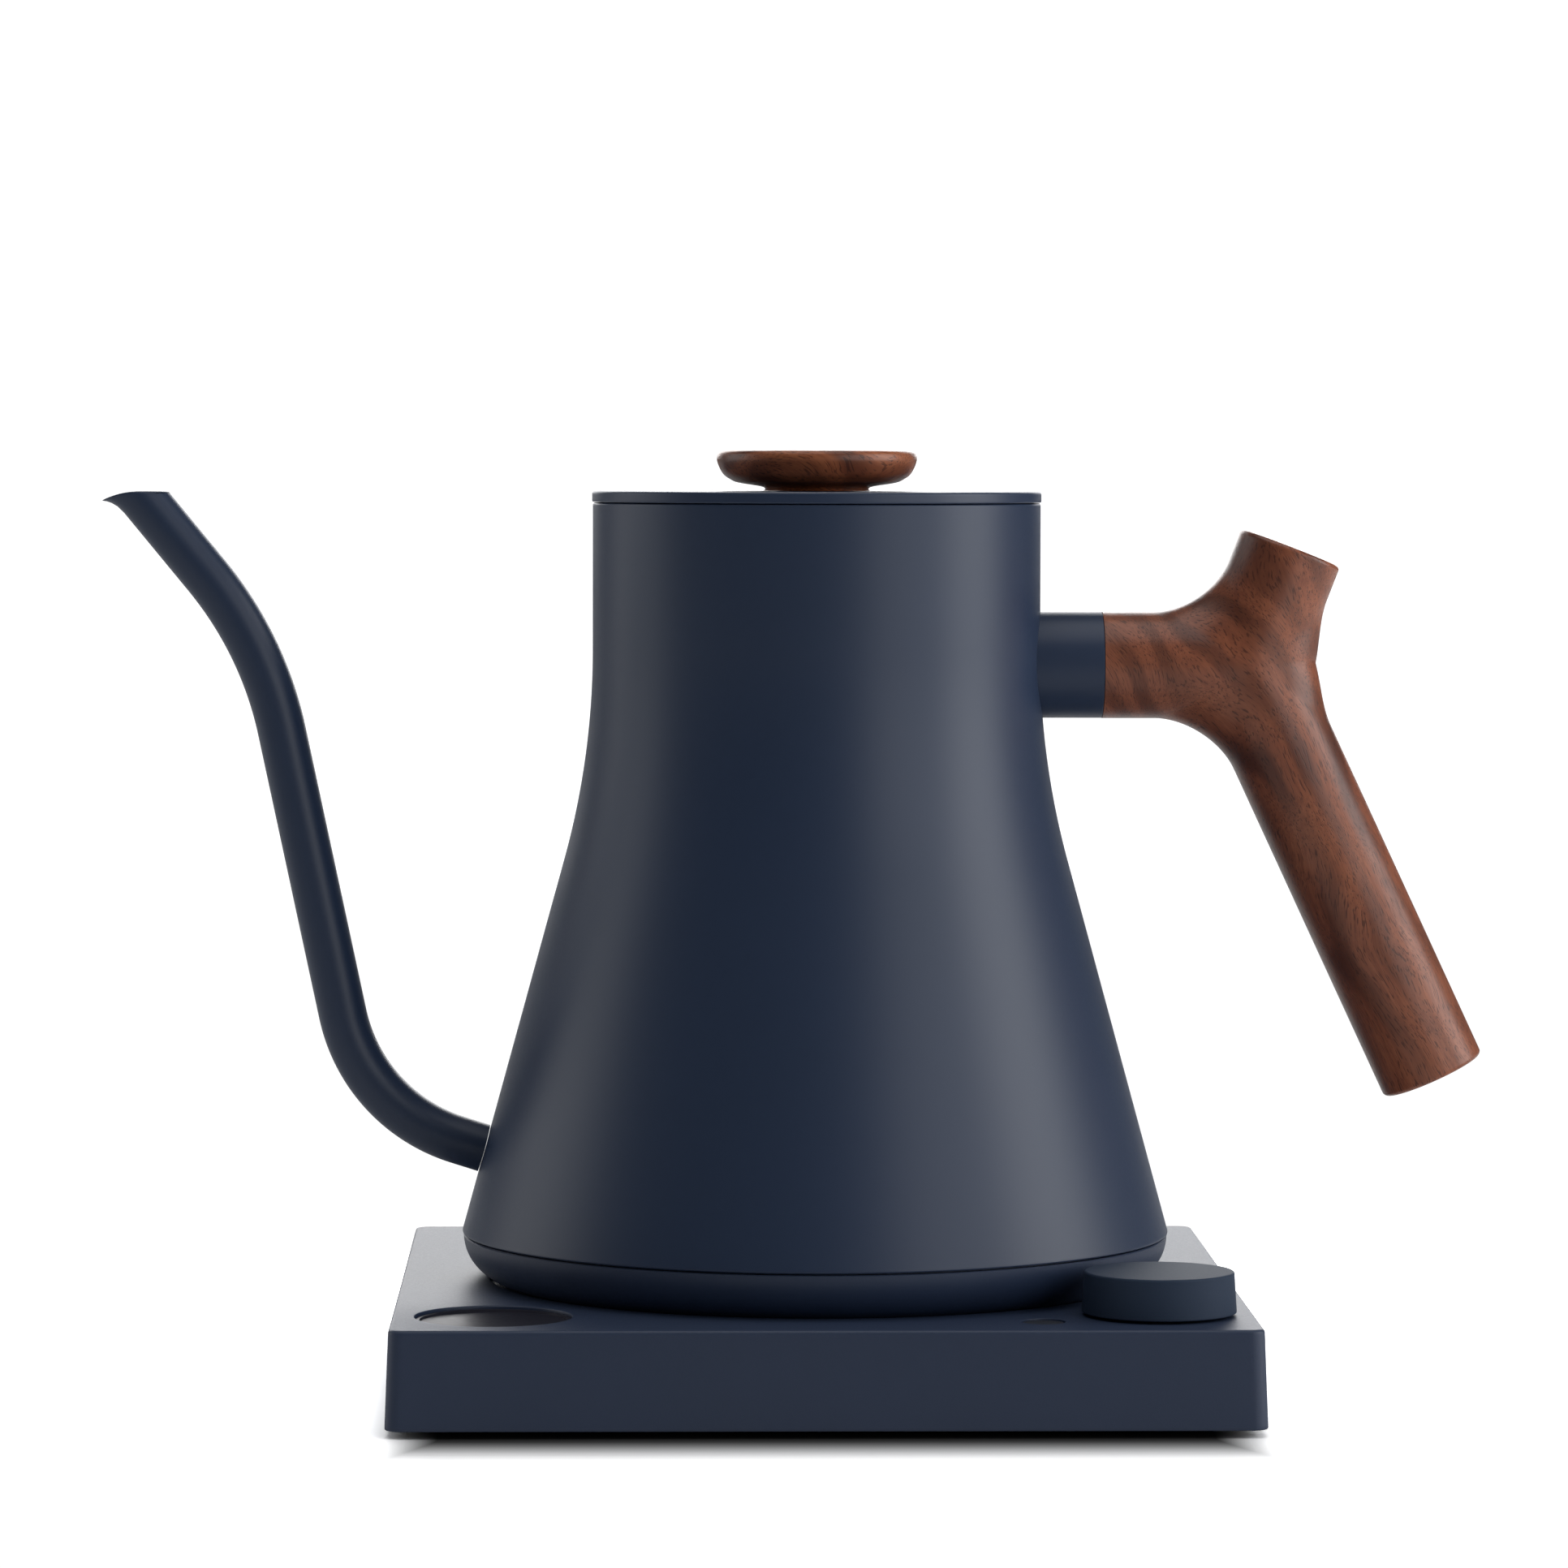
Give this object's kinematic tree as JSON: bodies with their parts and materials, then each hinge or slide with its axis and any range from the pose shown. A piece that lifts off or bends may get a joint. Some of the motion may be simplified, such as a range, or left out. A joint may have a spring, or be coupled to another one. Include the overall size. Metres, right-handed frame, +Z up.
{
  "type": "gooseneck kettle",
  "caption": "Electric gooseneck kettle with a conical body, a wooden forked handle and a lift-off lid, on a square heating base with a round display window and a turn-and-push dial.",
  "frame": {"origin": "centre of the bounding box at table level, under the kettle and 4.9 mm from its vertical axis, which is at x = 0.004856", "axes": "+X from the spout to the handle, +Y to the back of the base, +Z up"},
  "size_m": [0.2904, 0.1754, 0.1955],
  "materials": {
    "powder_coat_shell": "matte powder coat over stainless steel",
    "moulded_blue": "fine spark-eroded moulded texture",
    "dark_moulding": "matte moulded",
    "walnut": "oiled satin",
    "stainless_steel": "brushed",
    "aluminium": "as cast",
    "brass": "turned",
    "silicone": "matte",
    "dark_silicone": "matte",
    "foot_rubber": "matte",
    "smoked_lens": "polished, tinted",
    "circuit_board": "solder mask",
    "component_black": "moulded epoxy",
    "live_insulation": "satin extruded",
    "neutral_insulation": "satin extruded",
    "earth_insulation": "satin extruded"
  },
  "bodies": {
    "base": {"base_housing": "moulded_blue", "base_bottom_plate": "dark_moulding", "base_foot_1": "foot_rubber", "base_foot_2": "foot_rubber", "base_foot_3": "foot_rubber", "base_foot_4": "foot_rubber", "base_screw_1": "stainless_steel", "base_screw_2": "stainless_steel", "base_screw_3": "stainless_steel", "base_screw_4": "stainless_steel", "display_lens": "smoked_lens", "display_module": "component_black", "display_carrier": "dark_moulding", "status_light_pipe": "smoked_lens", "status_led": "silicone", "encoder_housing": "component_black", "control_board": "circuit_board", "power_board": "circuit_board", "link_cable": "silicone", "transformer": "component_black", "relay": "component_black", "terminal_block": "dark_moulding", "capacitor": "aluminium", "coaxial_plug": "dark_moulding", "cord_gland": "foot_rubber", "hold_switch_body": "component_black", "mains_live_wire": "live_insulation", "mains_neutral_wire": "neutral_insulation", "mains_earth_wire": "earth_insulation"},
    "dial_rotor": {"encoder_rotor": "stainless_steel"},
    "dial": {"dial_knob": "moulded_blue", "dial_shaft": "stainless_steel"},
    "hold_slider": {"hold_switch_slider": "dark_moulding"},
    "plug_ring": {"plug_crown": "dark_moulding"},
    "kettle": {"kettle_body": "powder_coat_shell", "spout": "powder_coat_shell", "heater_plate": "stainless_steel", "heat_spreader": "aluminium", "heating_element": "stainless_steel", "thermal_cutout": "component_black", "temperature_probe": "stainless_steel", "probe_seal": "silicone", "coaxial_socket": "dark_moulding", "element_live_wire": "live_insulation", "element_neutral_wire": "neutral_insulation", "bottom_cover": "moulded_blue", "bottom_cover_screw_1": "stainless_steel", "bottom_cover_screw_2": "stainless_steel", "bottom_cover_screw_3": "stainless_steel", "handle_ferrule": "powder_coat_shell", "handle_stud": "stainless_steel", "ferrule_core": "dark_moulding", "handle_insert": "brass", "handle_grip": "walnut"},
    "lid": {"lid_plate": "powder_coat_shell", "lid_liner": "stainless_steel", "lid_gasket": "dark_silicone", "lid_knob": "walnut", "lid_knob_screw": "stainless_steel"}
  },
  "joints": [
    {"name": "kettle_swivel", "type": "hinge", "parent": "base", "child": "plug_ring", "pos_m": [0.00486, 0, 0.025], "axis": [0, 0, 1], "continuous": true},
    {"name": "kettle_lift", "type": "slide", "parent": "plug_ring", "child": "kettle", "axis": [0, 0, 1], "range_m": [0, 0.15]},
    {"name": "lid_lift", "type": "slide", "parent": "kettle", "child": "lid", "axis": [0, 0, 1], "range_m": [0, 0.1]},
    {"name": "dial_turn", "type": "hinge", "parent": "base", "child": "dial_rotor", "pos_m": [0.07246, -0.0635, 0.025], "axis": [0, 0, 1], "continuous": true},
    {"name": "dial_push", "type": "slide", "parent": "dial_rotor", "child": "dial", "axis": [0, 0, -1], "range_m": [0, 0.0005], "stiffness_N_per_m": 4000, "springref_m": -0.0005},
    {"name": "hold_switch_slide", "type": "slide", "parent": "base", "child": "hold_slider", "axis": [1, 0, 0], "range_m": [0, 0.0035]}
  ]
}
